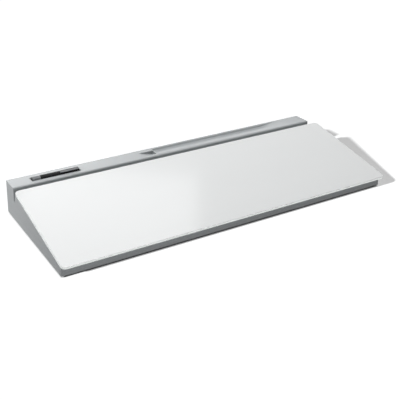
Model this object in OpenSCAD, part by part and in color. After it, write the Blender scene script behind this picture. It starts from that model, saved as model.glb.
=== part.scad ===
// Desk whiteboard pad: a sloped glass panel on a hollow wedge base. Behind the panel a full-length
// slot takes a phone or cards, and a raised rail holds a marker and a pen trough. A shallow drawer
// slides out of the right-hand end, under the panel.
// The origin is at desk level, halfway along the width and halfway from front to back.
// +X runs to the right, +Y to the back and +Z up. Sizes are in millimetres.

/* [Glass panel] */
// Width of the glass, left to right
panel_w = 457.2; // [430:0.1:560]
// Depth of the glass along its slope
panel_d = 152.4; // [140:0.1:190]
// Thickness of the glass
panel_t = 3.2; // [2.5:0.1:5]
// Radius of the glass corners, seen square on
panel_corner_r = 6; // [2:0.5:12]
// Slope of the glass in degrees
panel_slope = 11.2; // [9:0.1:14]
// Height of the underside above the desk at the front edge
panel_front_z = 14.4; // [13.5:0.1:20]
// How far the glass overhangs the front of the base
panel_front_overhang = 8.4; // [4:0.1:14]
// How far the glass overhangs each end of the base, at desk level
panel_end_overhang = 1; // [0.5:0.1:5]

/* [Steel sheet and tape] */
// Thickness of the steel sheet that makes the glass magnetic
steel_t = 0.5; // [0.3:0.1:1]
// Border of the glass that the steel sheet leaves free
steel_border = 12; // [9:0.5:24]
// Thickness of the foam tape under the steel sheet
tape_t = 1; // [0.6:0.1:2]
// Width of one strip of tape
tape_w = 19; // [10:0.5:25]
// Number of tape strips
tape_count = 4; // [2:1:5]

/* [Base] */
// Wall of the base moulding
wall = 2.4; // [2:0.1:3]
// Thickness of the sloped deck
deck_t = 2.4; // [2:0.1:3]
// How far the deck shows behind the glass
deck_lip = 4; // [2:0.1:8]
// Inward lean of the two ends, in degrees
end_draft = 3.1; // [0.5:0.1:5]
// Radius of the two upright corners at the front
front_corner_r = 2; // [1:0.5:6]
// Radius of the two upright corners at the back
rear_corner_r = 1.2; // [0.6:0.1:5]
// Rounding of the deck's edges
deck_edge_r = 1; // [0.4:0.1:1.5]
// Thickness of the cross ribs
rib_t = 1.6; // [1.2:0.1:2.4]
// Number of cross ribs beside the drawer
rib_count = 3; // [2:1:5]

/* [Device slot] */
// Width of the slot at the level of the deck
slot_mouth = 10.2; // [8:0.1:16]
// Width of the slot at its floor
slot_floor_w = 1.8; // [1.4:0.1:4]
// Depth of the slot below the rail's top
slot_depth = 18.8; // [14:0.1:24]
// Rounding of the rail's upright edges beside the slot
slot_edge_r = 1; // [0.6:0.1:5]

/* [Rail] */
// Depth of the rail, front to back
rail_d = 28.2; // [26:0.1:36]
// How far the rail's top lies below the glass's rear edge
rail_drop = 2.7; // [0:0.1:6]
// Rounding of the rail's top edge along the slot
rail_front_edge_r = 2; // [1:0.1:3]
// Rounding of the rail's top edge at the back
rail_back_edge_r = 1; // [0.5:0.1:3]
// Thickness of the rail's top
rail_top_t = 2.6; // [2:0.1:3.5]

/* [Marker] */
// Length of the capped marker
marker_l = 62.4; // [56:0.1:80]
// Diameter of the marker
marker_d = 9.8; // [9:0.1:11]
// How far the marker stands above the rail
marker_rise = 2.9; // [2:0.1:4]
// Distance of the marker from the rail's left end
marker_start = 28.4; // [20:0.1:50]
// Distance of the marker's axis behind the rail's front face
marker_back = 13.2; // [12:0.1:16]
// Length of the cap
cap_l = 28; // [24:0.1:32]
// Length of the end plug that shows
plug_l = 10.4; // [6:0.1:14]
// Wall of the barrel and of the cap
marker_wall = 0.9; // [0.7:0.1:1.2]
// Diameter of the writing tip
nib_d = 3; // [2:0.1:4]
// Width of the clip on the cap
clip_w = 2.4; // [1.6:0.1:4]
// Turn of the clip from straight up towards the front, in degrees
clip_turn = 30; // [0:1:40]

/* [Marker recess] */
// Gap between the marker and the recess around it
recess_gap = 0.4; // [0.3:0.1:1]
// Gap between the marker and each end of the recess
recess_end_gap = 1; // [0.5:0.1:3]

/* [Pen trough] */
// Distance of the trough from the rail's left end
trough_start = 201.5; // [180:0.5:230]
// Distance of the trough from the rail's right end
trough_end = 46; // [30:0.5:90]
// Length of the ramp at the trough's right end
trough_ramp = 28; // [15:0.5:40]
// Depth of the trough
trough_depth = 2.6; // [1.5:0.1:3.5]
// Width of the rim in front of the trough
trough_front_rim = 6; // [4:0.1:8]
// Width of the rim behind the trough
trough_back_rim = 4.4; // [3:0.1:6]
// Width of the trough's level floor
trough_floor_w = 5.5; // [3:0.1:8]
// Thickness of the rib between the trough and the finger scoop
scoop_rib = 1.6; // [1.2:0.1:3]
// Length of the finger scoop
scoop_l = 21; // [14:0.5:26]
// Width of the finger scoop
scoop_w = 12; // [9:0.1:14]
// Depth of the finger scoop at its deep end
scoop_depth = 5; // [3:0.1:7]

/* [Base plate and feet] */
// Thickness of the base plate
plate_t = 2.4; // [2:0.1:3.5]
// Gap between the base plate and the walls around it
plate_gap = 0.2; // [0.1:0.05:0.5]
// Diameter of a foot
foot_d = 14; // [10:0.5:18]
// Height of a foot
foot_h = 2.6; // [2.4:0.1:4]
// Depth of the foot's seat in the base plate
foot_seat = 0.8; // [0.4:0.1:1]
// Distance of a foot's centre from the end of the base
foot_from_end = 24; // [20:0.5:60]
// Distance of a foot's centre from the front or the back of the base
foot_from_side = 15; // [13:0.5:17]

/* [Screws] */
// Shank diameter of the plate screws
screw_d = 2.9; // [2.2:0.1:3.5]
// Head diameter of the plate screws
screw_head_d = 5.4; // [4.5:0.1:6]
// Head height of the plate screws
screw_head_h = 1.4; // [1:0.1:1.6]
// Length of the shank below the head
screw_l = 8; // [6:0.5:9]
// Diameter of a screw boss
boss_d = 7.4; // [6.5:0.1:9]
// Radial gap between a shank and its bore
screw_gap = 0.05; // [0.02:0.01:0.1]
// Gap around a screw head
screw_head_gap = 0.3; // [0.1:0.1:0.5]
// Distance of a boss's centre from the inner face of the front or back wall
boss_from_wall = 4.6; // [4.5:0.1:6]
// Distance of the outer bosses from the end of the base
boss_from_end = 45; // [42:0.5:60]

/* [Drawer] */
// Length of the drawer, with its front
drawer_l = 198; // [190:0.5:210]
// How far the drawer slides out
drawer_travel = 140; // [80:0.5:145]
// Distance of the drawer behind the base's front face
drawer_from_front = 30; // [26:0.5:45]
// Width of the drawer, front to back of the base
drawer_w = 104; // [80:0.5:108]
// Wall of the drawer
drawer_wall = 1.8; // [1.4:0.1:2.4]
// Thickness of the drawer's front
drawer_face_t = 2.6; // [2:0.1:4]
// Gap between the drawer's front and the opening around it
drawer_gap = 0.5; // [0.3:0.1:1]
// Gap between the drawer's rim and the deck above it
drawer_head_gap = 2.2; // [2:0.1:4]
// Gap between the drawer's floor and the base plate
drawer_floor_gap = 0.8; // [0.5:0.1:1.5]
// How far the drawer's stop lip stands above its rim
stop_lip = 1.6; // [1.2:0.1:1.8]
// Length of the finger pull in the drawer's front
pull_l = 34; // [24:0.5:44]
// Depth of the finger pull
pull_depth = 7; // [5:0.1:9]

/* [Drawer guides] */
// Height of the groove's lower face above the base plate
guide_groove_z = 4; // [3:0.1:5]
// Thickness of the drawer's runner strip
runner_t = 2; // [1.6:0.1:2.6]
// How far the runner strip stands out of the drawer's side
runner_out = 2.4; // [2:0.1:3]
// Gap around the runner strip in its groove
runner_gap = 0.35; // [0.3:0.05:0.6]
// Thickness of the guide's lips and web
guide_wall = 1.6; // [1.2:0.1:2]
// Length of a drawer guide
guide_l = 180; // [120:0.5:190]

/* [Hidden] */

$fn = 64;
// Overshoot of a cut past the face that it opens
cut = 1;
// Longer than the whole part, for cuts that run right through
far = 2 * panel_w;

// Rounding of the base's lower edge and of the corners of the slot's floor
base_edge_r = 0.6;
slot_floor_r = slot_floor_w * 0.4;
// Least thickness under the trough and the scoop
trough_skin = 1.8;
// Run of the trough's steep back, and the blend between its floor and its front slope
trough_back_run = 1.4;
trough_blend_r = 12;
// How far the scoop's front edge lies behind the trough's
scoop_inset = 0.5;
// Height of the pads on the base plate that meet the screw bosses
pad_h = 1.6;
// Number of bosses in each of the two rows
boss_columns = 4;
// Room left in a screw bore past the tip, and the cross in a screw's head
screw_spare = 0.6;
cross_l = screw_head_d * 0.64;
cross_w = screw_head_d * 0.14;
cross_h = screw_head_h * 0.6;
foot_bevel = 0.6;
// The last cross rib stands this share of a pitch away from the drawer's inner end
rib_last_share = 0.5;
steel_corner_r = 3;
// How far the tapes stop short of the steel sheet's ends
tape_inset = 8;
// Depth of the stop rib under the deck, and its gap to the drawer's lip when that is fully out
stop_rib_h = 1.4;
stop_gap = 0.3;
// How far the runners stop short of the guides' ends when the drawer is fully out
runner_spare = 4;
// Distance of the guides from the inner face of the base's end
guide_end_gap = 8;
pull_h = 11;
pull_wall = 1.4;
// Bevel at the marker's two ends, and the radial gap between its nested pieces
end_bevel = 0.7;
marker_fit = 0.05;
core_gap = 0.3;
// Lengths of the marker's inner pieces
plug_spigot = 4;
holder_spigot = 5;
holder_l = 9;
holder_cone = 4;
nib_out = 4.5;
nib_end_r = nib_d * 0.2;
cap_end_t = 1.6;
clip_t = 0.7;
clip_l = 25;

// The underside of the glass passes through y = 0 at its front edge, before the part is centred
slope_tan = tan(panel_slope);
slope_cos = cos(panel_slope);
panel_rear_y = panel_d * slope_cos;
panel_rear_top_z = panel_front_z + panel_d * sin(panel_slope) + panel_t * slope_cos;
deck_drop = (steel_t + tape_t) / slope_cos;
lip_y = panel_rear_y + deck_lip;
rail_front_y = lip_y + slot_mouth;
rail_back_y = rail_front_y + rail_d;
rail_top_z = panel_rear_top_z - rail_drop;
slot_floor_z = rail_top_z - slot_depth;
front_y = panel_front_overhang;
mid_y = (rail_back_y - panel_t * sin(panel_slope)) / 2;
base_z = foot_h - foot_seat;
plate_top_z = base_z + plate_t;
base_half_w = panel_w / 2 - panel_end_overhang;
rail_half_w = base_half_w - rail_top_z * tan(end_draft);

function deck_z(y) = panel_front_z + y * slope_tan - deck_drop;
function deck_under_z(y) = deck_z(y) - deck_t / slope_cos;

// Marker, lying along X in the rail
marker_r = marker_d / 2;
marker_y = rail_front_y + marker_back;
marker_z = rail_top_z + marker_rise - marker_r;
marker_x0 = -rail_half_w + marker_start;
marker_x1 = marker_x0 + marker_l;
recess_r = marker_r + recess_gap;
barrel_bore_r = marker_r - marker_wall;
barrel_l = marker_l - plug_l - cap_l - marker_fit;
cap_bore_r = marker_r - marker_wall;
recess_x0 = marker_x0 - recess_end_gap;
recess_l = marker_l + 2 * recess_end_gap;
steel_w = panel_w - 2 * steel_border;
steel_d = panel_d - 2 * steel_border;

// Trough and scoop, along X in the rail
trough_x0 = -rail_half_w + trough_start;
trough_x1 = rail_half_w - trough_end;
trough_y0 = rail_front_y + trough_front_rim;
trough_y1 = rail_back_y - trough_back_rim;
trough_floor_z = rail_top_z - trough_depth;
scoop_x1 = trough_x0 - scoop_rib;
scoop_x0 = scoop_x1 - scoop_l;
scoop_y0 = trough_y0 + scoop_inset;

// Screws stand in two rows, along the front wall and along the back wall
boss_front_y = front_y + wall + boss_from_wall;
boss_back_y = rail_back_y - wall - boss_from_wall;
boss_x_out = base_half_w - boss_from_end;
boss_xs = [for (i = [0:boss_columns - 1]) boss_x_out * (2 * i / (boss_columns - 1) - 1)];
boss_spots = [for (x = boss_xs) for (y = [boss_front_y, boss_back_y]) [x, y]];
head_seat_z = base_z + screw_head_h + screw_head_gap;
boss_z = plate_top_z + pad_h;
rib_z = boss_z + plate_gap;
foot_x = base_half_w - foot_from_end;
foot_front_y = front_y + foot_from_side;
foot_rear_y = rail_back_y - foot_from_side;
foot_spots = [for (x = [-foot_x, foot_x]) for (y = [foot_front_y, foot_rear_y]) [x, y]];

// Drawer
drawer_y0 = front_y + drawer_from_front;
drawer_y1 = drawer_y0 + drawer_w;
drawer_z0 = plate_top_z + drawer_floor_gap;
drawer_face_x = base_half_w - drawer_z0 * tan(end_draft);
drawer_x0 = drawer_face_x - drawer_l;
stop_x = drawer_x0 + drawer_wall + drawer_travel + stop_gap;
opening_x0 = stop_x + 2 * rib_t;
rib_pitch = (drawer_x0 + base_half_w) / (rib_count + rib_last_share);
groove_z = plate_top_z + guide_groove_z;
guide_x1 = base_half_w - wall - guide_end_gap;
guide_x0 = guide_x1 - guide_l;
runner_l = drawer_l - drawer_travel - drawer_face_t - 2 * wall - runner_spare;
pull_y = (drawer_y0 + drawer_y1) / 2;
pull_z = drawer_z0 + (drawer_rim_z(pull_y - pull_l / 2) - drawer_z0 - pull_h) / 2;

// Height of the drawer's rim, which follows the deck above it
function drawer_rim_z(y) = deck_under_z(y) - drawer_head_gap;

// Outline with each corner [y, z, r] rounded by its own radius
function unit(v) = v / norm(v);
function corner_arc(a, b, c, steps = 6) =
    let (
        p = [b[0], b[1]],
        to_a = unit([a[0], a[1]] - p),
        to_c = unit([c[0], c[1]] - p),
        half = acos(to_a * to_c) / 2,
        centre = p + unit(to_a + to_c) * b[2] / sin(half),
        start = p + to_a * b[2] / tan(half) - centre,
        side = sign(to_a[0] * to_c[1] - to_a[1] * to_c[0]),
        sweep = side * (180 - 2 * half)
    )
    b[2] == 0 ? [p] : [for (i = [0:steps])
        let (turn = -sweep * i / steps)
        centre + [start[0] * cos(turn) - start[1] * sin(turn),
                  start[0] * sin(turn) + start[1] * cos(turn)]];
function rounded(pts) =
    let (n = len(pts))
    [for (i = [0:n - 1]) each corner_arc(pts[(i + n - 1) % n], pts[i], pts[(i + 1) % n])];

// Everything is drawn with y = 0 at the glass's front edge, then centred over the origin
module centred() {
    translate([0, -mid_y, 0]) children();
}

// Extrudes a [y, z] outline along X
module along_x(x0, x1) {
    translate([x0, 0, 0]) rotate([90, 0, 90]) linear_extrude(x1 - x0) children();
}

// Lays its children, drawn flat, on the underside of the glass
module on_slope(lift = 0) {
    translate([0, 0, panel_front_z]) rotate([panel_slope, 0, 0]) translate([0, 0, lift]) children();
}

// Stands its children at the right-hand end, with x = 0 on the leaning end face
module at_end() {
    translate([base_half_w, 0, 0]) rotate([0, -end_draft, 0]) children();
}

// Cuts its children off inside both leaning ends
module between_ends(inset = 0) {
    difference() {
        children();
        for (side = [0, 1]) mirror([side, 0, 0]) at_end()
            translate([-inset, -far / 2, -far / 2]) cube([far, far, far]);
    }
}

// What comes off an upright corner that is rounded by r, where the material lies on the side of
// the corner that inwards gives: 1 for +Y, -1 for -Y
module corner_waste(y, inwards, r, z0, z1) {
    translate([-r, y, z0]) difference() {
        translate([0, inwards > 0 ? -cut : -r, 0]) cube([r + cut, r + cut, z1 - z0]);
        translate([0, inwards * r, -cut]) cylinder(r = r, h = z1 - z0 + 2 * cut);
    }
}

module rounded_plate(w, d, r, h) {
    linear_extrude(h) union() {
        square([w - 2 * r, d], center = true);
        square([w, d - 2 * r], center = true);
        for (x = [-1, 1]) for (y = [-1, 1])
            translate([x * (w / 2 - r), y * (d / 2 - r)]) circle(r);
    }
}

// Base housing

base_outline = rounded([
    [front_y, base_z, base_edge_r],
    [rail_back_y, base_z, base_edge_r],
    [rail_back_y, rail_top_z, rail_back_edge_r],
    [rail_front_y, rail_top_z, rail_front_edge_r],
    [rail_front_y, slot_floor_z, slot_floor_r],
    [rail_front_y - slot_floor_w, slot_floor_z, slot_floor_r],
    [lip_y, deck_z(lip_y), deck_edge_r],
    [front_y, deck_z(front_y), deck_edge_r]
]);

// The inner face of the slot's front wall runs parallel to the slot's own face
slot_foot = [rail_front_y - slot_floor_w, slot_floor_z];
slot_rise = unit([lip_y, deck_z(lip_y)] - slot_foot);
slot_inner = slot_foot + wall * [-slot_rise[1], slot_rise[0]];
function slot_inner_at(t) = slot_inner + t * slot_rise;
slot_inner_top = (deck_under_z(slot_inner[0]) - slot_inner[1]) / (slot_rise[1] - slope_tan * slot_rise[0]);
slot_inner_low = (slot_floor_z - wall - slot_inner[1]) / slot_rise[1];

cavity_outline = [
    [front_y + wall, base_z - cut],
    [rail_back_y - wall, base_z - cut],
    [rail_back_y - wall, rail_top_z - rail_top_t],
    [rail_front_y + wall, rail_top_z - rail_top_t],
    [rail_front_y + wall, slot_floor_z - wall],
    slot_inner_at(slot_inner_low),
    slot_inner_at(slot_inner_top),
    [front_y + wall, deck_under_z(front_y + wall)]
];

module base_solid() {
    difference() {
        between_ends() along_x(-panel_w, panel_w) polygon(base_outline);
        for (side = [0, 1]) mirror([side, 0, 0]) at_end() {
            corner_waste(front_y, 1, front_corner_r, 0, far);
            corner_waste(rail_back_y, -1, rear_corner_r, 0, far);
            corner_waste(rail_front_y, 1, slot_edge_r, slot_floor_z, far);
        }
    }
}

// Everything that stands inside the hollow of the housing
module base_inner_parts() {
    // Well under the marker
    translate([recess_x0 - wall, marker_y, marker_z]) rotate([0, 90, 0])
        cylinder(r = recess_r + wall, h = recess_l + 2 * wall);
    translate([recess_x0 - wall, marker_y - recess_r - wall, marker_z])
        cube([recess_l + 2 * wall, 2 * (recess_r + wall), far]);
    // Thicker top under the trough and the scoop
    translate([scoop_x0 - wall, rail_front_y, trough_floor_z - trough_skin])
        cube([trough_x1 - scoop_x0 + 2 * wall, rail_d, far]);
    translate([scoop_x0 - wall, scoop_y0 - wall, rail_top_z - scoop_depth - trough_skin])
        cube([scoop_l + scoop_rib + wall, scoop_w + 2 * wall, far]);
    // Screw bosses
    for (spot = boss_spots) translate([spot[0], spot[1], boss_z]) cylinder(d = boss_d, h = far);
    // Cross ribs on the side without the drawer
    for (i = [1:rib_count])
        translate([-base_half_w + i * rib_pitch - rib_t / 2, 0, rib_z]) cube([rib_t, far, far]);
    // Rib under the deck that stops the drawer's lip
    along_x(stop_x, stop_x + rib_t) polygon([
        [drawer_y0, deck_under_z(drawer_y0) - stop_rib_h],
        [drawer_y1, deck_under_z(drawer_y1) - stop_rib_h],
        [drawer_y1, deck_z(drawer_y1)],
        [drawer_y0, deck_z(drawer_y0)]
    ]);
}

module marker_recess() {
    translate([recess_x0, marker_y, marker_z]) rotate([0, 90, 0])
        cylinder(r = recess_r, h = recess_l);
    translate([recess_x0, marker_y - recess_r, marker_z])
        cube([recess_l, 2 * recess_r, rail_top_z - marker_z + cut]);
}

// The trough has a steep back, a level floor and a gentle rise to its front rim
module pen_trough() {
    floor_y = trough_y1 - trough_back_run - trough_floor_w;
    difference() {
        along_x(trough_x0, trough_x1) polygon(rounded([
            [trough_y0, rail_top_z, 0],
            [floor_y, trough_floor_z, trough_blend_r],
            [trough_y1 - trough_back_run, trough_floor_z, trough_back_run],
            [trough_y1, rail_top_z, 0],
            [trough_y1, rail_top_z + cut, 0],
            [trough_y0, rail_top_z + cut, 0]
        ]));
        // Ramp at the right-hand end
        translate([0, rail_back_y, 0]) rotate([90, 0, 0]) linear_extrude(rail_d) polygon([
            [trough_x1 - trough_ramp, trough_floor_z],
            [trough_x1, rail_top_z],
            [trough_x1 + cut, rail_top_z],
            [trough_x1 + cut, trough_floor_z]
        ]);
    }
}

module finger_scoop() {
    translate([0, scoop_y0 + scoop_w, 0]) rotate([90, 0, 0]) linear_extrude(scoop_w) polygon([
        [scoop_x0, rail_top_z],
        [scoop_x1, rail_top_z - scoop_depth],
        [scoop_x1, rail_top_z + cut],
        [scoop_x0, rail_top_z + cut]
    ]);
}

module base_housing() {
    color([0.77, 0.79, 0.8]) centred() difference() {
        base_solid();
        difference() {
            between_ends(wall) along_x(-panel_w, panel_w) polygon(cavity_outline);
            base_inner_parts();
        }
        marker_recess();
        pen_trough();
        finger_scoop();
        // Opening for the drawer in the right-hand end
        along_x(opening_x0, panel_w) polygon(drawer_outline(drawer_gap));
        for (spot = boss_spots) translate([spot[0], spot[1], boss_z - cut])
            cylinder(d = screw_d + 2 * screw_gap, h = head_seat_z + screw_l + screw_spare - boss_z + cut);
    }
}

// Base plate, screws and feet

module base_plate() {
    half_w = base_half_w - wall / cos(end_draft) - plate_top_z * tan(end_draft) - plate_gap;
    y0 = front_y + wall + plate_gap;
    y1 = rail_back_y - wall - plate_gap;
    color([0.3, 0.31, 0.32]) centred() difference() {
        union() {
            translate([-half_w, y0, base_z]) cube([2 * half_w, y1 - y0, plate_t]);
            for (spot = boss_spots) translate([spot[0], spot[1], base_z + plate_t / 2])
                cylinder(d = boss_d, h = boss_z - base_z - plate_t / 2);
        }
        for (spot = boss_spots) translate([spot[0], spot[1], 0]) {
            cylinder(d = screw_d + 2 * screw_gap, h = far);
            cylinder(d = screw_head_d + 2 * screw_head_gap, h = head_seat_z);
        }
        for (spot = foot_spots) translate([spot[0], spot[1], 0])
            cylinder(d = foot_d + 2 * plate_gap, h = foot_h);
    }
}

module plate_screw() {
    difference() {
        union() {
            translate([0, 0, head_seat_z - screw_head_h]) cylinder(d = screw_head_d, h = screw_head_h);
            translate([0, 0, head_seat_z]) cylinder(d = screw_d, h = screw_l);
        }
        for (turn = [0, 90]) rotate([0, 0, turn])
            translate([-cross_l / 2, -cross_w / 2, head_seat_z - screw_head_h - cut])
                cube([cross_l, cross_w, cut + cross_h]);
    }
}

module plate_screws() {
    color([0.55, 0.56, 0.58]) centred()
        for (spot = boss_spots) translate([spot[0], spot[1], 0]) plate_screw();
}

module foot(spot) {
    color([0.12, 0.12, 0.12]) centred() translate([spot[0], spot[1], 0]) rotate_extrude() polygon([
        [0, 0],
        [foot_d / 2 - foot_bevel, 0],
        [foot_d / 2, foot_bevel],
        [foot_d / 2, foot_h],
        [0, foot_h]
    ]);
}

// Glass, steel and tape

module glass_panel() {
    color([0.95, 0.96, 0.96]) centred() on_slope() translate([0, panel_d / 2, 0])
        rounded_plate(panel_w, panel_d, panel_corner_r, panel_t);
}

module steel_sheet() {
    color([0.5, 0.52, 0.54]) centred() on_slope(-steel_t) translate([0, panel_d / 2, 0])
        rounded_plate(steel_w, steel_d, steel_corner_r, steel_t);
}

module foam_tapes() {
    pitch = steel_d / tape_count;
    color([0.2, 0.2, 0.21]) centred() on_slope(-steel_t - tape_t)
        for (i = [0:tape_count - 1])
            translate([-steel_w / 2 + tape_inset, steel_border + pitch * (i + 0.5) - tape_w / 2, 0])
                cube([steel_w - 2 * tape_inset, tape_w, tape_t]);
}

// Drawer

function drawer_outline(grow) = [
    [drawer_y0 - grow, drawer_z0 - grow],
    [drawer_y1 + grow, drawer_z0 - grow],
    [drawer_y1 + grow, drawer_rim_z(drawer_y1) + grow],
    [drawer_y0 - grow, drawer_rim_z(drawer_y0) + grow]
];

// The space behind the leaning plane that lies inset inside the right-hand end
module behind_end(inset) {
    at_end() translate([-inset - far, -far / 2, -far / 2]) cube([far, far, far]);
}

module runner(y_side) {
    y = y_side < 0 ? drawer_y0 - runner_out : drawer_y1 - drawer_wall / 2;
    translate([drawer_x0, y, groove_z + runner_gap])
        cube([runner_l, runner_out + drawer_wall / 2, runner_t]);
}

// Cup behind the finger pull, grown for the hole that it passes through
module pull_cup(grow) {
    at_end() translate([-pull_depth - pull_wall - grow, pull_y - pull_l / 2 - pull_wall - grow,
                        pull_z - pull_wall - grow])
        cube([pull_depth + pull_wall + grow, pull_l + 2 * (pull_wall + grow),
              pull_h + 2 * (pull_wall + grow)]);
}

module drawer_tray() {
    color([0.62, 0.64, 0.66]) centred() difference() {
        union() {
            intersection() {
                along_x(drawer_x0, panel_w) polygon(drawer_outline(0));
                behind_end(drawer_face_t);
            }
            // Lip at the inner end that meets the stop rib
            along_x(drawer_x0, drawer_x0 + drawer_wall) polygon([
                [drawer_y0, drawer_z0],
                [drawer_y1, drawer_z0],
                [drawer_y1, drawer_rim_z(drawer_y1) + stop_lip],
                [drawer_y0, drawer_rim_z(drawer_y0) + stop_lip]
            ]);
            runner(-1);
            runner(1);
        }
        intersection() {
            along_x(drawer_x0 + drawer_wall, panel_w) polygon([
                [drawer_y0 + drawer_wall, drawer_z0 + drawer_wall],
                [drawer_y1 - drawer_wall, drawer_z0 + drawer_wall],
                [drawer_y1 - drawer_wall, far],
                [drawer_y0 + drawer_wall, far]
            ]);
            behind_end(drawer_face_t + drawer_wall);
        }
        pull_cup(drawer_gap);
    }
}

module drawer_face() {
    color([0.77, 0.79, 0.8]) centred() difference() {
        union() {
            difference() {
                intersection() {
                    along_x(0, panel_w) polygon(drawer_outline(0));
                    behind_end(0);
                }
                behind_end(drawer_face_t);
            }
            pull_cup(0);
        }
        at_end() translate([-pull_depth, pull_y - pull_l / 2, pull_z])
            cube([pull_depth + cut, pull_l, pull_h]);
    }
}

module drawer_guide(y_side) {
    face_y = y_side < 0 ? drawer_y0 : drawer_y1;
    groove_h = runner_t + 2 * runner_gap;
    along = [for (p = [
        [runner_gap, plate_top_z],
        [runner_gap, groove_z],
        [runner_out + runner_gap, groove_z],
        [runner_out + runner_gap, groove_z + groove_h],
        [runner_gap, groove_z + groove_h],
        [runner_gap, groove_z + groove_h + guide_wall],
        [runner_out + runner_gap + guide_wall, groove_z + groove_h + guide_wall],
        [runner_out + runner_gap + guide_wall, plate_top_z]
    ]) [face_y + y_side * p[0], p[1]]];
    color([0.88, 0.88, 0.86]) centred() along_x(guide_x0, guide_x1) polygon(along);
}

// Marker, drawn along +X from its left end

module along_marker(from = 0) {
    centred() translate([marker_x0 + from, marker_y, marker_z]) rotate([0, 90, 0]) children();
}

module tube(r_out, r_in, h) {
    difference() {
        cylinder(r = r_out, h = h);
        translate([0, 0, -cut]) cylinder(r = r_in, h = h + 2 * cut);
    }
}

module marker_barrel() {
    color([0.07, 0.07, 0.08]) along_marker(plug_l) tube(marker_r, barrel_bore_r, barrel_l);
}

module marker_end_plug() {
    color([0.45, 0.46, 0.47]) along_marker() rotate_extrude() polygon([
        [0, 0],
        [marker_r - end_bevel, 0],
        [marker_r, end_bevel],
        [marker_r, plug_l],
        [barrel_bore_r - marker_fit, plug_l],
        [barrel_bore_r - marker_fit, plug_l + plug_spigot],
        [0, plug_l + plug_spigot]
    ]);
}

module marker_ink_core() {
    color([0.85, 0.83, 0.78]) along_marker(plug_l + plug_spigot + core_gap)
        cylinder(r = barrel_bore_r - core_gap, h = barrel_l - plug_spigot - holder_spigot - 2 * core_gap);
}

module marker_tip_holder() {
    color([0.9, 0.9, 0.9]) along_marker(plug_l + barrel_l) difference() {
        rotate_extrude() polygon([
            [0, -holder_spigot],
            [barrel_bore_r - marker_fit, -holder_spigot],
            [barrel_bore_r - marker_fit, 0],
            [cap_bore_r - marker_fit, 0],
            [cap_bore_r - marker_fit, holder_l],
            [nib_d / 2 + marker_wall, holder_l + holder_cone],
            [0, holder_l + holder_cone]
        ]);
        translate([0, 0, -holder_spigot - cut])
            cylinder(d = nib_d + 2 * marker_fit, h = holder_spigot + holder_l + holder_cone + 2 * cut);
    }
}

module marker_nib() {
    color([0.1, 0.1, 0.1]) along_marker(plug_l + barrel_l) rotate_extrude() polygon([
        [0, -holder_spigot],
        [nib_d / 2, -holder_spigot],
        [nib_d / 2, holder_l + holder_cone + nib_out - nib_d / 2],
        [nib_end_r, holder_l + holder_cone + nib_out],
        [0, holder_l + holder_cone + nib_out]
    ]);
}

module marker_cap() {
    color([0.07, 0.07, 0.08]) along_marker(marker_l - cap_l) difference() {
        rotate_extrude() polygon([
            [0, 0],
            [marker_r, 0],
            [marker_r, cap_l - end_bevel],
            [marker_r - end_bevel, cap_l],
            [0, cap_l]
        ]);
        translate([0, 0, -cut]) cylinder(r = cap_bore_r, h = cap_l - cap_end_t + cut);
    }
}

module marker_clip() {
    color([0.6, 0.61, 0.62]) along_marker(marker_l - clip_l - end_bevel) intersection() {
        tube(marker_r + clip_t, marker_r, clip_l);
        rotate([0, 0, clip_turn]) translate([-2 * marker_r, -clip_w / 2, 0])
            cube([2 * marker_r, clip_w, clip_l]);
    }
}

base_housing();
base_plate();
plate_screws();
foot([-foot_x, foot_front_y]);  // foot_front_left
foot([foot_x, foot_front_y]);  // foot_front_right
foot([-foot_x, foot_rear_y]);  // foot_rear_left
foot([foot_x, foot_rear_y]);  // foot_rear_right
glass_panel();
steel_sheet();
foam_tapes();
drawer_tray();
drawer_face();
drawer_guide(-1);  // drawer_guide_front
drawer_guide(1);  // drawer_guide_rear
marker_barrel();
marker_end_plug();
marker_ink_core();
marker_tip_holder();
marker_nib();
marker_cap();
marker_clip();
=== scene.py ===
"""Portrait of a desk whiteboard pad.

A white-backed glass pane lies on a sloped wedge of silver-grey plastic. Behind it run a deep
device slot and a flat rail with a marker, a finger scoop and a pen trough. A shallow drawer
slides out of the right-hand end. Lengths are in metres unless a name ends in _mm.
"""

import logging
import math
from collections.abc import Callable, Sequence
from dataclasses import dataclass, field
from enum import Enum

import bmesh
import bpy
from mathutils import Matrix, Vector


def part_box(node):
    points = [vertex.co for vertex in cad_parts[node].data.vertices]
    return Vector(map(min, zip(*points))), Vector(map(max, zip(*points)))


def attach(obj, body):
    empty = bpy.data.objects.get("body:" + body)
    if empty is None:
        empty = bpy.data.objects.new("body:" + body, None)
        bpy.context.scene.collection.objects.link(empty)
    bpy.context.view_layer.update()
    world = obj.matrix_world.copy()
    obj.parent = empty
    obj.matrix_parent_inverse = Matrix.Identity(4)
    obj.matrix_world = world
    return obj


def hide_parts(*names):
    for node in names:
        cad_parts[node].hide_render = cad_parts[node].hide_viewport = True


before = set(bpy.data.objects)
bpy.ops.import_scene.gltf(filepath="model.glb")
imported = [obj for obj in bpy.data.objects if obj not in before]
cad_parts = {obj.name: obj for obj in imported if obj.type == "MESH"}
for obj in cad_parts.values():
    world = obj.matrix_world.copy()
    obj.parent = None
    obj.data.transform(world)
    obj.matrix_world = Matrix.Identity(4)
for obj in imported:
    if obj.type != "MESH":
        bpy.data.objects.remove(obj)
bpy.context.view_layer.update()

LOG = logging.getLogger("desk_pad")
MM = 0.001
# Facets that meet at less than this belong to one curved surface
CREASE = math.radians(32)
# Triangles that meet at less than this lie in one flat area
FLAT = math.radians(0.4)
# Points closer than this, in metres, are one point: in a copied mesh and in a turned one
WELD = 1e-6
TURNED_WELD = 1e-7
# Nearly all values of a noise pattern lie between these
NOISE_LOW = 0.3
NOISE_HIGH = 0.7
GLASS_INDEX = 1.52
PLASTIC_INDEX = 1.5


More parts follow.
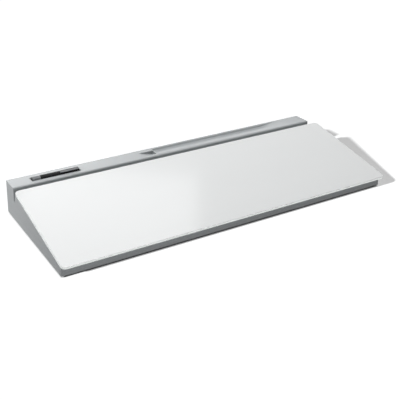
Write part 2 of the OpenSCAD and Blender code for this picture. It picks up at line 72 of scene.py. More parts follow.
class Body(Enum):
    """The rigid bodies that pieces move with."""

    BASE = "base"
    DRAWER = "drawer"
    MARKER = "marker"


class Grain(Enum):
    """How the surface of a moulding is textured."""

    SATIN = "satin"
    SPARKED = "sparked"
    POLISHED = "polished"


def linear(code: str) -> tuple[float, float, float, float]:
    """Turn an sRGB hex colour into the linear values that shaders take.

    Args:
        code: Six hex digits after a #.

    Returns:
        Linear red, green and blue, and an alpha of 1.
    """
    # The standard's curve: straight near black, then a power of 2.4
    shares = [int(code[i:i + 2], 16) / 255 for i in (1, 3, 5)]
    made = [s / 12.92 if s <= 0.04045 else ((s + 0.055) / 1.055) ** 2.4 for s in shares]
    return (*made, 1.0)


def add_node(
    tree: bpy.types.NodeTree,
    kind: str,
    feeds: dict[int | str, object] | None = None,
    **settings: object,
) -> bpy.types.Node:
    """Add one node, set its properties and fill or link its inputs.

    Args:
        tree: The node tree that takes the node.
        kind: The node's type, such as ShaderNodeMath.
        feeds: For each input, by name or place, a socket to link or a value to hold.
        settings: Properties of the node itself.

    Returns:
        The new node.
    """
    node = tree.nodes.new(kind)
    for name, value in settings.items():
        setattr(node, name, value)
    for key, value in (feeds or {}).items():
        if isinstance(value, bpy.types.NodeSocket):
            tree.links.new(value, node.inputs[key])
        else:
            node.inputs[key].default_value = value
    return node


def per(size_mm: float) -> float:
    """Return the scale at which one cell of a pattern is size_mm across."""
    return 1 / (size_mm * MM)


@dataclass(frozen=True)
class Finish:
    """What a surface is made of, and the record's slot that it belongs to."""

    name: str
    slot: str
    colour: str

    def material(self) -> bpy.types.Material:
        """Make this finish's material, or find it where it is made already.

        Returns:
            The material.
        """
        known = bpy.data.materials.get(self.name)
        if known:
            return known
        made = bpy.data.materials.new(self.name)
        made.use_nodes = True
        tree = made.node_tree
        self.dress(tree, tree.nodes["Principled BSDF"])
        return made

    def dress(self, tree: bpy.types.NodeTree, skin: bpy.types.Node) -> None:
        """Set up the shader. Each kind of finish has its own."""
        raise NotImplementedError

    def blotches(
        self,
        tree: bpy.types.NodeTree,
        size_mm: float,
        detail: float = 2,
        squeeze: Sequence[float] = (1, 1, 1),
    ) -> bpy.types.NodeSocket:
        """Lay soft irregular blotches over the piece.

        Args:
            tree: The material's node tree.
            size_mm: How far it is across one blotch.
            detail: Octaves of finer structure inside the blotches.
            squeeze: Below 1, the blotches are that much longer along an axis.

        Returns:
            A share that mostly lies between NOISE_LOW and NOISE_HIGH.
        """
        where = add_node(tree, "ShaderNodeTexCoord")
        laid = add_node(
            tree, "ShaderNodeMapping", {"Vector": where.outputs["Object"], "Scale": tuple(squeeze)}
        )
        soft = add_node(
            tree, "ShaderNodeTexNoise",
            {"Vector": laid.outputs[0], "Scale": per(size_mm), "Detail": detail},
        )
        return soft.outputs["Fac"]

    def cells(self, tree: bpy.types.NodeTree, size_mm: float) -> bpy.types.Node:
        """Lay rounded cells over the piece.

        Args:
            tree: The material's node tree.
            size_mm: How far it is across one cell.

        Returns:
            The node, with the distance to a cell's middle and a random colour for each cell.
        """
        where = add_node(tree, "ShaderNodeTexCoord")
        return add_node(
            tree, "ShaderNodeTexVoronoi", {"Vector": where.outputs["Object"], "Scale": per(size_mm)}
        )

    def tinted(
        self, tree: bpy.types.NodeTree, share: bpy.types.NodeSocket, spread: float
    ) -> bpy.types.NodeSocket:
        """Make the finish's colour a little darker and lighter as a share varies.

        Args:
            tree: The material's node tree.
            share: What it varies with, mostly from NOISE_LOW to NOISE_HIGH.
            spread: How much lighter and darker it gets, as a share of the colour.

        Returns:
            The colour.
        """
        gain = add_node(
            tree, "ShaderNodeMapRange",
            {0: share, 1: NOISE_LOW, 2: NOISE_HIGH, 3: 1 - spread, 4: 1 + spread},
        ).outputs[0]
        grey = add_node(tree, "ShaderNodeCombineColor", {0: gain, 1: gain, 2: gain})
        product = add_node(
            tree, "ShaderNodeMix", {0: 1.0, 6: linear(self.colour), 7: grey.outputs[0]},
            data_type="RGBA", blend_type="MULTIPLY", clamp_result=True,
        )
        return product.outputs[2]

    def surface(
        self,
        tree: bpy.types.NodeTree,
        skin: bpy.types.Node,
        gloss: tuple[bpy.types.NodeSocket, float, float],
        relief: tuple[bpy.types.NodeSocket, float],
        bumped: str = "Normal",
    ) -> None:
        """Vary the roughness and the relief of the surface.

        Args:
            tree: The material's node tree.
            skin: The shader.
            gloss: A share, and the roughness at its low and at its high end.
            relief: A height map, and the depth in mm of its full range.
            bumped: The input that takes the relief.
        """
        share, smooth, rough = gloss
        varied = add_node(
            tree, "ShaderNodeMapRange",
            {0: share, 1: NOISE_LOW, 2: NOISE_HIGH, 3: smooth, 4: rough},
        )
        tree.links.new(varied.outputs[0], skin.inputs["Roughness"])
        height, depth_mm = relief
        bump = add_node(
            tree, "ShaderNodeBump", {"Strength": 1.0, "Distance": depth_mm * MM, "Height": height}
        )
        tree.links.new(bump.outputs[0], skin.inputs[bumped])


@dataclass(frozen=True)
class Moulding(Finish):
    """Injection-moulded plastic, with the texture of its mould."""

    roughness: float = 0.45
    grain: Grain = Grain.SATIN
    grain_mm: float = 1.1
    grain_depth_mm: float = 0.006
    mottle: float = 0.012
    flow_mm: float = 38.0
    touch_mm: float = 16.0
    index: float = 1.53
    shine: float = 0.5

    def dress(self, tree: bpy.types.NodeTree, skin: bpy.types.Node) -> None:
        """Give flow marks to the colour, handling marks to the gloss and the mould's grain.

        Args:
            tree: The material's node tree.
            skin: The shader.
        """
        flow = self.blotches(tree, self.flow_mm, 3, (0.35, 1, 1))
        handled = self.blotches(tree, self.touch_mm, 3)
        height = self.blotches(tree, self.grain_mm)
        if self.grain is Grain.SPARKED:
            pits = self.cells(tree, self.grain_mm)
            height = add_node(
                tree, "ShaderNodeMath", {0: pits.outputs["Distance"], 1: height},
                operation="MULTIPLY",
            ).outputs[0]
        # A polished mould leaves a more even gloss than a textured one
        swing = 0.03 if self.grain is Grain.POLISHED else 0.05
        skin.inputs["IOR"].default_value = self.index
        skin.inputs["Specular IOR Level"].default_value = self.shine
        tree.links.new(self.tinted(tree, flow, self.mottle), skin.inputs["Base Color"])
        self.surface(
            tree, skin, (handled, self.roughness - swing, self.roughness + swing),
            (height, self.grain_depth_mm),
        )


@dataclass(frozen=True)
class FlakePlastic(Finish):
    """Plastic coloured with a fine metal flake, which gives a silver-grey satin sheen."""

    roughness: float = 0.42
    flake_mm: float = 0.9
    flow_mm: float = 30.0
    mottle: float = 0.014
    grain_mm: float = 1.3
    grain_depth_mm: float = 0.004

    def dress(self, tree: bpy.types.NodeTree, skin: bpy.types.Node) -> None:
        """Scatter lighter flakes over a faint long-grained flow of the moulding.

        Args:
            tree: The material's node tree.
            skin: The shader.
        """
        # Real flakes are near 0.05 mm, too fine to show, so they are drawn coarser and fainter
        flakes = self.cells(tree, self.flake_mm)
        glint = add_node(tree, "ShaderNodeSeparateColor", {0: flakes.outputs["Color"]}).outputs[0]
        flow = self.blotches(tree, self.flow_mm, 3, (0.3, 1, 1))
        both = add_node(
            tree, "ShaderNodeMix", {0: 0.5, 2: flow, 3: glint}, data_type="FLOAT"
        ).outputs[0]
        skin.inputs["IOR"].default_value = PLASTIC_INDEX
        tree.links.new(self.tinted(tree, both, self.mottle), skin.inputs["Base Color"])
        self.surface(
            tree, skin, (both, self.roughness - 0.03, self.roughness + 0.05),
            (self.blotches(tree, self.grain_mm, 3), self.grain_depth_mm),
        )


@dataclass(frozen=True)
class BackedGlass(Finish):
    """Float glass over a coat of white enamel, seen as one skin: enamel under a clear coat."""

    enamel_roughness: tuple[float, float] = (0.36, 0.44)
    enamel_index: float = 1.5
    glass_roughness: float = 0.12
    smear_mm: float = 26.0
    smear_share: float = 0.004
    wave_mm: float = 90.0
    wave_depth_mm: float = 0.02

    def dress(self, tree: bpy.types.NodeTree, skin: bpy.types.Node) -> None:
        """Leave a trace of wiped ink in the white and keep the glass on top of it polished.

        Args:
            tree: The material's node tree.
            skin: The shader.
        """
        smear = self.blotches(tree, self.smear_mm, 4, (0.25, 0.6, 1))
        skin.inputs["IOR"].default_value = self.enamel_index
        skin.inputs["Coat Weight"].default_value = 1.0
        skin.inputs["Coat Roughness"].default_value = self.glass_roughness
        skin.inputs["Coat IOR"].default_value = GLASS_INDEX
        tree.links.new(self.tinted(tree, smear, self.smear_share), skin.inputs["Base Color"])
        # Float glass is flat to a few hundredths of a millimetre over a hand's width
        wave = self.blotches(tree, self.wave_mm, 1, (0.4, 1, 1))
        self.surface(
            tree, skin, (smear, *self.enamel_roughness), (wave, self.wave_depth_mm),
            bumped="Coat Normal",
        )


@dataclass(frozen=True)
class GroundGlass(Finish):
    """The pane's ground and polished rim, pale and part metal so that it mirrors its surroundings:
    painted reflection and painted light, standing in for light carried inside the glass.
    """

    painted_mirror: float = 0.6
    mark_mm: float = 0.5
    mark_depth_mm: float = 0.004
    roughness: tuple[float, float] = (0.2, 0.34)

    def dress(self, tree: bpy.types.NodeTree, skin: bpy.types.Node) -> None:
        """Run fine grinding marks along a rim that is part painted mirror and part pale white, both
        painted light.

        Args:
            tree: The material's node tree.
            skin: The shader.
        """
        marks = self.blotches(tree, self.mark_mm, 2, (0.02, 0.02, 0.12))
        skin.inputs["IOR"].default_value = GLASS_INDEX
        # Painted reflection: glass is no metal, and this share makes the pale rim mirror the white
        # surroundings
        skin.inputs["Metallic"].default_value = self.painted_mirror
        tree.links.new(self.tinted(tree, marks, 0.02), skin.inputs["Base Color"])
        self.surface(tree, skin, (marks, *self.roughness), (marks, self.mark_depth_mm))


@dataclass(frozen=True)
class Steel(Finish):
    """Rolled or plated steel."""

    roughness: float = 0.34
    spangle_mm: float = 7.0
    line_mm: float = 0.6
    line_depth_mm: float = 0.004
    rolled: tuple[float, float, float] = (0.04, 1, 1)

    def dress(self, tree: bpy.types.NodeTree, skin: bpy.types.Node) -> None:
        """Mix zinc crystals with fine lines that follow the rolling.

        Args:
            tree: The material's node tree.
            skin: The shader.
        """
        crystals = self.cells(tree, self.spangle_mm)
        share = add_node(tree, "ShaderNodeSeparateColor", {0: crystals.outputs["Color"]}).outputs[0]
        lines = self.blotches(tree, self.line_mm, 3, self.rolled)
        skin.inputs["Metallic"].default_value = 1.0
        tree.links.new(self.tinted(tree, share, 0.05), skin.inputs["Base Color"])
        self.surface(
            tree, skin, (lines, self.roughness - 0.06, self.roughness + 0.08),
            (lines, self.line_depth_mm),
        )


@dataclass(frozen=True)
class Elastic(Finish):
    """Moulded rubber or closed-cell foam, matt, with cells or dust in it."""

    cell_mm: float = 0.9
    depth_mm: float = 0.03
    dust_mm: float = 5.0
    dust_share: float = 0.18
    roughness: float = 0.85

    def dress(self, tree: bpy.types.NodeTree, skin: bpy.types.Node) -> None:
        """Pit the surface with cells and let dust lighten it in patches.

        Args:
            tree: The material's node tree.
            skin: The shader.
        """
        dust = self.blotches(tree, self.dust_mm, 4)
        skin.inputs["IOR"].default_value = PLASTIC_INDEX
        tree.links.new(self.tinted(tree, dust, self.dust_share), skin.inputs["Base Color"])
        self.surface(
            tree, skin, (dust, self.roughness - 0.07, self.roughness + 0.07),
            (self.cells(tree, self.cell_mm).outputs["Distance"], self.depth_mm),
        )


@dataclass(frozen=True)
class Felt(Finish):
    """Bonded fibre that carries ink, with its fibres along the pen."""

    fibre_mm: float = 0.35
    fibre_depth_mm: float = 0.05
    roughness: tuple[float, float] = (0.92, 0.98)

    def dress(self, tree: bpy.types.NodeTree, skin: bpy.types.Node) -> None:
        """Draw fibres as long thin streaks that show in the colour and the relief.

        Args:
            tree: The material's node tree.
            skin: The shader.
        """
        fibres = self.blotches(tree, self.fibre_mm, 3, (0.08, 1, 1))
        skin.inputs["Sheen Weight"].default_value = 0.2
        tree.links.new(self.tinted(tree, fibres, 0.25), skin.inputs["Base Color"])
        self.surface(tree, skin, (fibres, *self.roughness), (fibres, self.fibre_depth_mm))


# ABS with metal flake: a cool silver grey that takes soft, wide highlights
SHELL = FlakePlastic("abs_silver_satin", "shell_plastic", "#AEB2B4")
# ABS, mid grey, for the part of the drawer that is mostly hidden
TRAY = Moulding("abs_grey_sparked", "tray_plastic", "#9A9FA3", roughness=0.52, grain=Grain.SPARKED)
# ABS, dark grey, coarsely spark-textured as undersides are
PLATE = Moulding(
    "abs_dark_sparked", "plate_plastic", "#3E4144", roughness=0.62, grain=Grain.SPARKED,
    grain_mm=1.4, grain_depth_mm=0.03, mottle=0.04,
)
# Acetal, natural white and waxy, for runners
GUIDE = Moulding(
    "acetal_natural", "guide_plastic", "#E6E5DF", roughness=0.36, grain=Grain.POLISHED,
    grain_depth_mm=0.003, index=1.48,
)
# Zinc-plated steel, bright and faintly grained, for screws
SCREW = Steel(
    "zinc_plated_steel", "screw_steel", "#B4B8BB", roughness=0.3, spangle_mm=0.8,
    rolled=(1, 1, 0.05),
)
# Galvanised sheet, grey with large dull crystals and fine rolling lines
SHEET = Steel("galvanised_steel", "sheet_steel", "#A9AEB2")
# Moulded rubber, near black and matt, with a little dust
RUBBER = Elastic("rubber_black", "foot_rubber", "#1B1B1C")
# Closed-cell foam tape, near black, matt and visibly cellular
FOAM = Elastic(
    "foam_tape_dark", "tape_foam", "#2B2C2E", cell_mm=0.6, depth_mm=0.06, roughness=0.92
)
# Float glass on white enamel: a bright even white under soft mirror-like gloss
PANE = BackedGlass("glass_white_backed", "white_glass", "#F4F6F6")
# The same glass where it is ground and polished; its pale colour and part-metal mirror are painted
# light, standing in for light carried inside the glass to its rim
RIM = GroundGlass("glass_rim_painted_light", "white_glass", "#F1F5F3")
# Polypropylene, deep black with a faint wide sheen
INK_BLACK = Moulding(
    "polypropylene_black", "marker_black", "#08080A", roughness=0.45, grain=Grain.POLISHED,
    grain_depth_mm=0.003, mottle=0.05, index=1.49, shine=0.12,
)
# Polypropylene, mid grey and a little glossier; on the clip its grey also stands for a painted
# highlight along the cap
INK_GREY = Moulding(
    "polypropylene_grey", "marker_grey", "#66696C", roughness=0.34, grain=Grain.POLISHED,
    grain_depth_mm=0.003, mottle=0.03, index=1.49,
)
# Polypropylene, off-white and satin
TIP = Moulding("polypropylene_white", "tip_plastic", "#E3E3E1", roughness=0.4, index=1.49)
# Polyester fibre soaked in ink, dark and quite matt
CORE = Felt("ink_fibre", "ink_felt", "#2B2B30")
# Bonded felt, black with ink
NIB = Felt("felt_nib", "nib_felt", "#141415")


def folds(edge: bmesh.types.BMEdge) -> bool:
    """Return whether the two faces at an edge meet at a crease."""
    return len(edge.link_faces) == 2 and edge.calc_face_angle(0) > CREASE


def round_edges(
    work: bmesh.types.BMesh,
    radius_mm: float,
    chosen: Callable[[bmesh.types.BMEdge], bool] = lambda edge: True,
    segments: int = 3,
) -> None:
    """Round a mesh's sharp edges.

    Args:
        work: The mesh.
        radius_mm: How far the rounding reaches on each side.
        chosen: Says which of the sharp edges are rounded.
        segments: Facets across the rounding.
    """
    edges = [edge for edge in work.edges if folds(edge) and chosen(edge)]
    bmesh.ops.bevel(
        work, geom=edges, offset=radius_mm * MM, offset_type="OFFSET", segments=segments,
        profile=0.5, affect="EDGES", material=-1, clamp_overlap=True,
    )


def merged_copy(node: str) -> bmesh.types.BMesh:
    """Copy a node's mesh, join its loose triangles and melt its flat areas into single faces.

    Args:
        node: The node's name.

    Returns:
        The closed copy, still in place.
    """
    work = bmesh.new()
    work.from_mesh(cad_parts[node].data)
    bmesh.ops.remove_doubles(work, verts=work.verts, dist=WELD)
    bmesh.ops.dissolve_limit(work, angle_limit=FLAT, verts=work.verts, edges=work.edges)
    return work


def soften(node: str, name: str, body: Body, finish: Finish, radius_mm: float) -> None:
    """Put a copy of a node in its place, with its sharp edges rounded.

    Args:
        node: The node's name.
        name: The piece's name.
        body: The body that it moves with.
        finish: What it is made of.
        radius_mm: Rounding of its sharp edges.
    """
    work = merged_copy(node)
    round_edges(work, radius_mm, segments=2)
    put(work, name, body, [finish], [node])


def lathe(profile_mm: Sequence[tuple[float, float]], steps: int = 64) -> bmesh.types.BMesh:
    """Spin a profile about the Z axis into a closed solid.

    Args:
        profile_mm: Points (radius, height) from axis to axis.
        steps: Facets round the axis.

    Returns:
        The turned solid, with its axis on Z.
    """
    work = bmesh.new()
    rim = [work.verts.new((r * MM, 0, z * MM)) for r, z in profile_mm]
    for one, two in zip(rim, rim[1:]):
        work.edges.new((one, two))
    bmesh.ops.spin(
        work, geom=work.verts[:] + work.edges[:], cent=(0, 0, 0), axis=(0, 0, 1), dvec=(0, 0, 0),
        angle=math.tau, steps=steps, use_merge=True,
    )
    bmesh.ops.remove_doubles(work, verts=work.verts, dist=TURNED_WELD)
    on_axis = [edge for edge in work.edges if edge.is_wire]
    bmesh.ops.delete(work, geom=on_axis, context="EDGES")
    bmesh.ops.recalc_face_normals(work, faces=work.faces)
    return work


def put(
    work: bmesh.types.BMesh,
    name: str,
    body: Body,
    finishes: Sequence[Finish],
    nodes: Sequence[str],
) -> None:
    """Turn a finished mesh into a piece of the pad.

    Args:
        work: The mesh, in place. It is used up.
        name: The piece's name.
        body: The body that it moves with.
        finishes: Its finishes, in the order of its faces' material numbers.
        nodes: The nodes that it stands for.
    """
    open_edges = sum(1 for edge in work.edges if len(edge.link_faces) != 2)
    for face in work.faces:
        face.smooth = True
    for edge in work.edges:
        edge.smooth = not folds(edge)
    mesh = bpy.data.meshes.new(name)
    work.to_mesh(mesh)
    work.free()
    for finish in finishes:
        mesh.materials.append(finish.material())
    piece = bpy.data.objects.new(name, mesh)
    bpy.context.scene.collection.objects.link(piece)
    even = piece.modifiers.new("even_normals", "WEIGHTED_NORMAL")
    even.keep_sharp = True
    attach(piece, body.value)
    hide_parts(*nodes)
    LOG.info(
        "%s: %d faces, %d open edges, rides on %s",
        name, len(mesh.polygons), open_edges, body.value,
    )


def keep(node: str, finish: Finish) -> None:
    """Show a node as it is, in a better finish.

    Args:
        node: The node's name.
        finish: What it is made of.
    """
    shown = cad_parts[node]
    shown.data.materials.clear()
    shown.data.materials.append(finish.material())
    LOG.info("%s: kept, in %s", node, finish.name)


def centre_of(node: str) -> Vector:
    """Return the middle of a node's box."""
    low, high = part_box(node)
    return (low + high) / 2


@dataclass
class BaseShell:
    """The hollow wedge with its slot, rail, recess, scoop and trough."""

    end_round_mm: float = 0.5
    recess_round_mm: float = 0.7
    brim_round_mm: float = 0.35
    end_reach_mm: float = 6.0
    plinth_mm: float = 3.0
    rail_reach_mm: float = 0.2
    recess_reach_mm: float = 4.0
    end_x: float = field(init=False)
    plinth_z: float = field(init=False)
    rail_z: float = field(init=False)
    recess_x: float = field(init=False)

    def __post_init__(self) -> None:
        """Find where the end walls, the rail's top and the marker's recess are."""
        low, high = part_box("base_housing")
        self.end_x = high.x - self.end_reach_mm * MM
        self.plinth_z = low.z + self.plinth_mm * MM
        self.rail_z = high.z - self.rail_reach_mm * MM
        self.recess_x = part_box("marker_cap")[1].x + self.recess_reach_mm * MM

    def build(self) -> None:
        """Soften the moulding's edges, which a mould never leaves sharp."""
        work = merged_copy("base_housing")
        round_edges(work, self.end_round_mm, self._at_end)
        round_edges(work, self.recess_round_mm, self._at_recess, 4)
        round_edges(work, self.brim_round_mm, self._at_brim)
        put(work, "base_shell", Body.BASE, [SHELL], ["base_housing"])

    def _at_end(self, edge: bmesh.types.BMEdge) -> bool:
        """Return whether an edge belongs to the end walls, above the plate."""
        return all(abs(v.co.x) > self.end_x and v.co.z > self.plinth_z for v in edge.verts)

    def _on_rail(self, edge: bmesh.types.BMEdge) -> bool:
        """Return whether an edge lies in the rail's top face, away from its ends."""
        return all(v.co.z > self.rail_z and abs(v.co.x) < self.end_x for v in edge.verts)

    def _at_recess(self, edge: bmesh.types.BMEdge) -> bool:
        """Return whether an edge of the rail's top face belongs to the marker's recess."""
        return self._on_rail(edge) and all(v.co.x < self.recess_x for v in edge.verts)

    def _at_brim(self, edge: bmesh.types.BMEdge) -> bool:
        """Return whether an edge belongs to the scoop, the trough or the rail's sides."""
        return self._on_rail(edge) and not self._at_recess(edge)


@dataclass
class Underside:
    """The plate that closes the base, its screws and its rubber feet."""

    plate_edge_mm: float = 0.3
    screw_edge_mm: float = 0.15
    foot_r_mm: float = 7.0
    foot_h_mm: float = 2.6
    groove_r_mm: Sequence[float] = (2.2, 4.4)
    groove_half_mm: float = 0.4
    groove_depth_mm: float = 0.35
    sole_round_mm: float = 0.7

    def build(self) -> None:
        """Build the plate, the screws and the four feet."""
        soften("base_plate", "closing_plate", Body.BASE, PLATE, self.plate_edge_mm)
        soften("plate_screws", "cross_screws", Body.BASE, SCREW, self.screw_edge_mm)
        for side in ("front_left", "front_right", "rear_left", "rear_right"):
            self._foot(f"foot_{side}")

    def _foot(self, node: str) -> None:
        """Turn a foot whose sole has grip grooves.

        Args:
            node: The node that it stands for.
        """
        out, deep = self.groove_half_mm, self.groove_depth_mm
        profile = [(0, 0)]
        for middle in self.groove_r_mm:
            profile += [(middle - out, 0), (middle - out / 2, deep)]
            profile += [(middle + out / 2, deep), (middle + out, 0)]
        profile += [
            (self.foot_r_mm - self.sole_round_mm, 0), (self.foot_r_mm - 0.2, 0.22),
            (self.foot_r_mm, 0.75), (self.foot_r_mm, self.foot_h_mm), (0, self.foot_h_mm),
        ]
        work = lathe(profile, 56)
        spot = centre_of(node)
        bmesh.ops.translate(work, verts=work.verts, vec=(spot.x, spot.y, 0))
        put(work, f"rubber_{node}", Body.BASE, [RUBBER], [node])


@dataclass
class GlassPanel:
    """The glass pane with the steel sheet and the tape strips under it."""

    width_mm: float = 457.2
    depth_mm: float = 152.4
    thickness_mm: float = 3.2
    corner_mm: float = 6.0
    corner_facets: int = 14
    bevel_mm: float = 0.8
    # A facet whose normal rises less than this is part of the rim
    rim_below: float = 0.5
    slope_deg: float = 11.2

    def build(self) -> None:
        """Build the pane and dress what carries it."""
        work = bmesh.new()
        bmesh.ops.create_cube(work, size=1)
        size = Vector((self.width_mm, self.depth_mm, self.thickness_mm)) * MM
        bmesh.ops.scale(work, verts=work.verts, vec=size)
        round_edges(work, self.corner_mm, self._upright, self.corner_facets)
        round_edges(work, self.bevel_mm, lambda edge: not self._upright(edge))
        for face in work.faces:
            face.material_index = int(abs(face.normal.z) < self.rim_below)
        bmesh.ops.rotate(
            work, verts=work.verts, cent=(0, 0, 0),
            matrix=Matrix.Rotation(math.radians(self.slope_deg), 3, "X"),
        )
        bmesh.ops.translate(work, verts=work.verts, vec=centre_of("glass_panel"))
        put(work, "glass_pane", Body.BASE, [PANE, RIM], ["glass_panel"])
        keep("steel_sheet", SHEET)
        keep("foam_tapes", FOAM)

    def _upright(self, edge: bmesh.types.BMEdge) -> bool:
        """Return whether an edge of the level pane stands upright."""
        return abs(edge.verts[0].co.z - edge.verts[1].co.z) > MM


@dataclass
class Drawer:
    """The tray, its front with a finger pull, and the two guides."""

    front_edge_mm: float = 0.4
    tray_edge_mm: float = 0.35
    guide_edge_mm: float = 0.2

    def build(self) -> None:
        """Soften the front, the tray and the guides."""
        soften("drawer_face", "drawer_front", Body.DRAWER, SHELL, self.front_edge_mm)
        soften("drawer_tray", "drawer_box", Body.DRAWER, TRAY, self.tray_edge_mm)
        for side in ("front", "rear"):
            soften(
                f"drawer_guide_{side}", f"drawer_runner_{side}", Body.BASE, GUIDE, self.guide_edge_mm
            )


@dataclass
class Marker:
    """The short capped marker that lies in the rail."""

    radius_mm: float = 4.9
    bore_mm: float = 4.0
    length_mm: float = 62.4
    plug_mm: float = 10.4
    cap_mm: float = 28.0
    ridge_mm: float = 0.25
    clip_edge_mm: float = 0.15
    axis: Matrix = field(init=False)

    def __post_init__(self) -> None:
        """Find the marker's axis, with Z along it from the plug's end."""
        low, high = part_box("marker_end_plug")
        start = Vector((low.x, (low.y + high.y) / 2, (low.z + high.z) / 2))
        self.axis = Matrix.Translation(start) @ Matrix.Rotation(math.pi / 2, 4, "Y")

    def build(self) -> None:
        """Turn the outer pieces, soften the clip and dress what the cap hides."""
        r = self.radius_mm
        bore = self.bore_mm
        seam = self.length_mm - self.cap_mm
        end = self.length_mm
        self._turned("marker_plug", "marker_end_plug", INK_GREY, [
            (0, 0.25), (2.4, 0.25), (2.8, 0), (r - 0.8, 0), (r - 0.25, 0.25), (r, 0.8),
            *self._groove(3.05), *self._groove(5.05), (r, self.plug_mm),
            (bore - 0.05, self.plug_mm), (bore - 0.05, self.plug_mm + 4), (0, self.plug_mm + 4),
        ])
        self._turned("marker_body", "marker_barrel", INK_BLACK, [
            (bore, self.plug_mm), (r - 0.1, self.plug_mm), (r, self.plug_mm + 0.12),
            (r, seam - 0.2), (r - 0.12, seam - 0.06), (bore, seam - 0.06), (bore, self.plug_mm),
        ])
        self._turned("marker_hood", "marker_cap", INK_BLACK, [
            (bore, seam), (r - 0.15, seam), (r, seam + 0.15), *self._groove(seam + 2.55),
            (r, end - 0.9), (r - 0.25, end - 0.3), (r - 0.8, end), (0, end), (0, end - 1.6),
            (bore, end - 1.6), (bore, seam),
        ])
        # The clip's grey is partly its own colour and partly a painted highlight: the bright streak
        # that a glossy cap shows along its top
        soften("marker_clip", "marker_pocket_clip", Body.MARKER, INK_GREY, self.clip_edge_mm)
        keep("marker_ink_core", CORE)
        keep("marker_tip_holder", TIP)
        keep("marker_nib", NIB)

    def _groove(self, middle_mm: float) -> list[tuple[float, float]]:
        """Draw a shallow groove round the marker.

        Args:
            middle_mm: Distance of the groove's middle from the plug's end.

        Returns:
            The profile's points across it.
        """
        r = self.radius_mm
        deep = r - self.ridge_mm
        points = [(r, -0.45), (deep, -0.25), (deep, 0.25), (r, 0.45)]
        return [(out, middle_mm + along) for out, along in points]

    def _turned(
        self, name: str, node: str, finish: Finish, profile_mm: Sequence[tuple[float, float]]
    ) -> None:
        """Turn a piece and lay it along the marker's axis.

        Args:
            name: The piece's name.
            node: The node that it stands for.
            finish: What it is made of.
            profile_mm: Points (radius, distance from the plug's end).
        """
        work = lathe(profile_mm)
        bmesh.ops.transform(work, matrix=self.axis, verts=work.verts)
        put(work, name, Body.MARKER, [finish], [node])


@dataclass(frozen=True)
class Lamp:
    """A rectangular soft light that points at the pad and leaves the floor dark.

    One that isn't mirrored lights matt colour alone and shows in no gloss.
    """

    name: str
    place: tuple[float, float, float]
    width: float
    height: float
    watts: float
    mirrored: bool = True
    aim: tuple[float, float, float] = (0.0, 0.0, 0.02)

    def hang(self, floor: bpy.types.Object) -> None:
        """Hang the light and turn it to the pad.

        Args:
            floor: The floor, which has a light of its own.
        """
        data = bpy.data.lights.new(self.name, "AREA")
        data.shape = "RECTANGLE"
        data.size = self.width
        data.size_y = self.height
        data.energy = self.watts
        lamp = bpy.data.objects.new(self.name, data)
        bpy.context.scene.collection.objects.link(lamp)
        lamp.location = self.place
        travel = Vector(self.aim) - lamp.location
        lamp.rotation_euler = travel.to_track_quat("-Z", "Y").to_euler()
        lamp.visible_camera = False
        lamp.visible_glossy = self.mirrored
        left_out = bpy.data.collections.new(f"not_lit_by_{self.name}")
        left_out.objects.link(floor)
        left_out.collection_objects[0].light_linking.link_state = "EXCLUDE"
        lamp.light_linking.receiver_collection = left_out


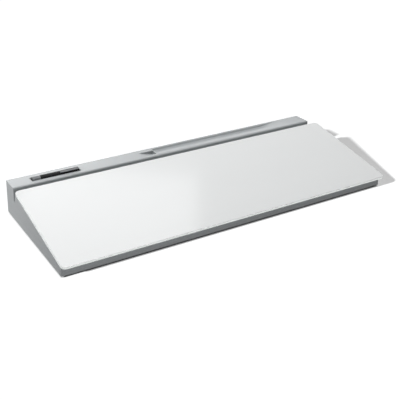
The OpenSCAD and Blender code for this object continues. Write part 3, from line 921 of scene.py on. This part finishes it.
@dataclass
class Studio:
    """White floor and surround, soft lights, and a low light for the floor's shadow."""

    floor_size: float = 9.0
    floor_gap_mm: float = 0.2
    floor_colour: str = "#E9EAEA"
    floor_bounce: str = "#7C7C7C"
    floor_glow: float = 0.53
    # Painted shade under the base: how far ambient occlusion looks, and its values that give full
    # shade and none
    painted_shade_reach_mm: float = 5.0
    painted_shade_shares: tuple[float, float] = (0.3, 0.72)
    lamps: Sequence[Lamp] = (
        Lamp("overhead", (0.0, 0.0, 1.12), 0.7, 0.7, 8.1),
        Lamp("rear_high", (0.25, 0.6, 1.01), 0.5, 0.5, 1.2),
        Lamp("rear_low", (0.0, 1.07, 0.29), 0.7, 0.7, 3.9),
        Lamp("rear_right_low", (0.5, 1.1, 0.2), 1.4, 0.4, 2.6),
        Lamp("front_low", (0.0, -1.1, 0.1), 1.2, 0.2, 1.25),
        Lamp("front_left_near", (-0.5, -0.55, 0.07), 0.3, 0.12, 0.56),
        Lamp("left_near", (-0.42, 0.12, 0.12), 0.16, 0.16, 0.27, mirrored=False),
    )
    sun_strength: float = 4.3
    sun_elevation_deg: float = 28.0
    sun_turn_deg: float = 14.0
    sun_angle_deg: float = 3.0

    def build(self) -> None:
        """Lay the floor and light the pad."""
        floor = self._floor()
        self._surround()
        for lamp in self.lamps:
            lamp.hang(floor)
        self._low_sun(floor)
        bpy.context.scene.view_settings.view_transform = "Standard"

    def _floor(self) -> bpy.types.Object:
        """Lay a floor that photographs white, shows the pad's shadow, darkens the gap under the base
        with painted shade and bounces little light.

        Returns:
            The floor.
        """
        work = bmesh.new()
        bmesh.ops.create_grid(work, x_segments=1, y_segments=1, size=self.floor_size / 2)
        bmesh.ops.translate(work, verts=work.verts, vec=(0, 0, -self.floor_gap_mm * MM))
        mesh = bpy.data.meshes.new("floor")
        work.to_mesh(mesh)
        work.free()
        paper = bpy.data.materials.new("paper_floor")
        paper.use_nodes = True
        tree = paper.node_tree
        tree.nodes.remove(tree.nodes["Principled BSDF"])
        # Painted shade: ambient occlusion dims the floor's glow, so the thin gap under the base,
        # which little light reaches, shows dark
        near = add_node(tree, "ShaderNodeAmbientOcclusion", {"Distance": self.painted_shade_reach_mm * MM})
        shut, clear = self.painted_shade_shares
        glow_left_by_painted_shade = add_node(
            tree, "ShaderNodeMapRange",
            {0: near.outputs["AO"], 1: shut, 2: clear, 3: 0.0, 4: 1.0},
        ).outputs[0]
        glow_with_painted_shade = add_node(
            tree, "ShaderNodeMath", {0: glow_left_by_painted_shade, 1: self.floor_glow}, operation="MULTIPLY"
        )
        matt = add_node(tree, "ShaderNodeBsdfDiffuse", {"Color": linear(self.floor_colour)})
        glow = add_node(tree, "ShaderNodeEmission", {"Strength": glow_with_painted_shade.outputs[0]})
        bright = add_node(tree, "ShaderNodeAddShader", {0: matt.outputs[0], 1: glow.outputs[0]})
        dull = add_node(tree, "ShaderNodeBsdfDiffuse", {"Color": linear(self.floor_bounce)})
        either = add_node(
            tree, "ShaderNodeMixShader",
            {0: self._seen(tree), 1: dull.outputs[0], 2: bright.outputs[0]},
        )
        tree.links.new(either.outputs[0], tree.nodes["Material Output"].inputs["Surface"])
        mesh.materials.append(paper)
        floor = bpy.data.objects.new("floor", mesh)
        bpy.context.scene.collection.objects.link(floor)
        return floor

    def _seen(self, tree: bpy.types.NodeTree) -> bpy.types.NodeSocket:
        """Tell rays that show the surroundings from rays that only carry their light.

        Args:
            tree: The floor's or the world's node tree.

        Returns:
            1 for rays from the camera, or from it by way of gloss or glass.
        """
        path = add_node(tree, "ShaderNodeLightPath")
        some = add_node(
            tree, "ShaderNodeMath",
            {0: path.outputs["Is Camera Ray"], 1: path.outputs["Is Glossy Ray"]},
            operation="MAXIMUM",
        )
        every = add_node(
            tree, "ShaderNodeMath",
            {0: some.outputs[0], 1: path.outputs["Is Transmission Ray"]}, operation="MAXIMUM",
        )
        return every.outputs[0]

    def _surround(self) -> None:
        """Make the world dark as a light and white to the camera and to gloss."""
        world = bpy.context.scene.world or bpy.data.worlds.new("surround")
        bpy.context.scene.world = world
        world.use_nodes = True
        tree = world.node_tree
        dark = tree.nodes["Background"]
        dark.inputs["Strength"].default_value = 0.0
        white = add_node(tree, "ShaderNodeBackground", {"Color": (1, 1, 1, 1), "Strength": 1.0})
        either = add_node(
            tree, "ShaderNodeMixShader",
            {0: self._seen(tree), 1: dark.outputs[0], 2: white.outputs[0]},
        )
        tree.links.new(either.outputs[0], tree.nodes["World Output"].inputs["Surface"])

    def _low_sun(self, floor: bpy.types.Object) -> None:
        """Add a low light from the left that falls on the floor alone, past the pad.

        Args:
            floor: The floor.
        """
        data = bpy.data.lights.new("low_sun", "SUN")
        data.energy = self.sun_strength
        data.angle = math.radians(self.sun_angle_deg)
        lamp = bpy.data.objects.new("low_sun", data)
        bpy.context.scene.collection.objects.link(lamp)
        turn = math.radians(self.sun_turn_deg)
        rise = math.radians(self.sun_elevation_deg)
        travel = Vector((math.cos(turn), math.sin(turn), -math.tan(rise)))
        lamp.rotation_euler = travel.to_track_quat("-Z", "Y").to_euler()
        lit = bpy.data.collections.new("lit_by_low_sun")
        lit.objects.link(floor)
        lamp.light_linking.receiver_collection = lit


@dataclass(frozen=True)
class Viewpoint:
    """Where the photographer stood, and the lens."""

    place_mm: tuple[float, float, float] = (-450.0, -759.8, 435.3)
    yaw_deg: float = 30.54
    down_deg: float = 26.25
    roll_deg: float = -0.29
    lens_mm: float = 67.79
    sensor_mm: float = 36.0
    near: float = 0.05
    far: float = 40.0

    def build(self) -> None:
        """Set up the camera."""
        data = bpy.data.cameras.new("portrait")
        data.sensor_width = self.sensor_mm
        data.lens = self.lens_mm
        data.clip_start = self.near
        data.clip_end = self.far
        camera = bpy.data.objects.new("portrait", data)
        bpy.context.scene.collection.objects.link(camera)
        turn = (
            Matrix.Rotation(math.radians(-self.yaw_deg), 4, "Z")
            @ Matrix.Rotation(math.radians(90 - self.down_deg), 4, "X")
            @ Matrix.Rotation(math.radians(self.roll_deg), 4, "Z")
        )
        camera.matrix_world = Matrix.Translation(Vector(self.place_mm) * MM) @ turn
        bpy.context.scene.camera = camera


def main() -> None:
    """Build the scene."""
    logging.basicConfig(level=logging.INFO, format="%(name)s: %(message)s")
    Viewpoint().build()
    Studio().build()
    BaseShell().build()
    Underside().build()
    GlassPanel().build()
    Drawer().build()
    Marker().build()


if __name__ == "__main__":
    main()
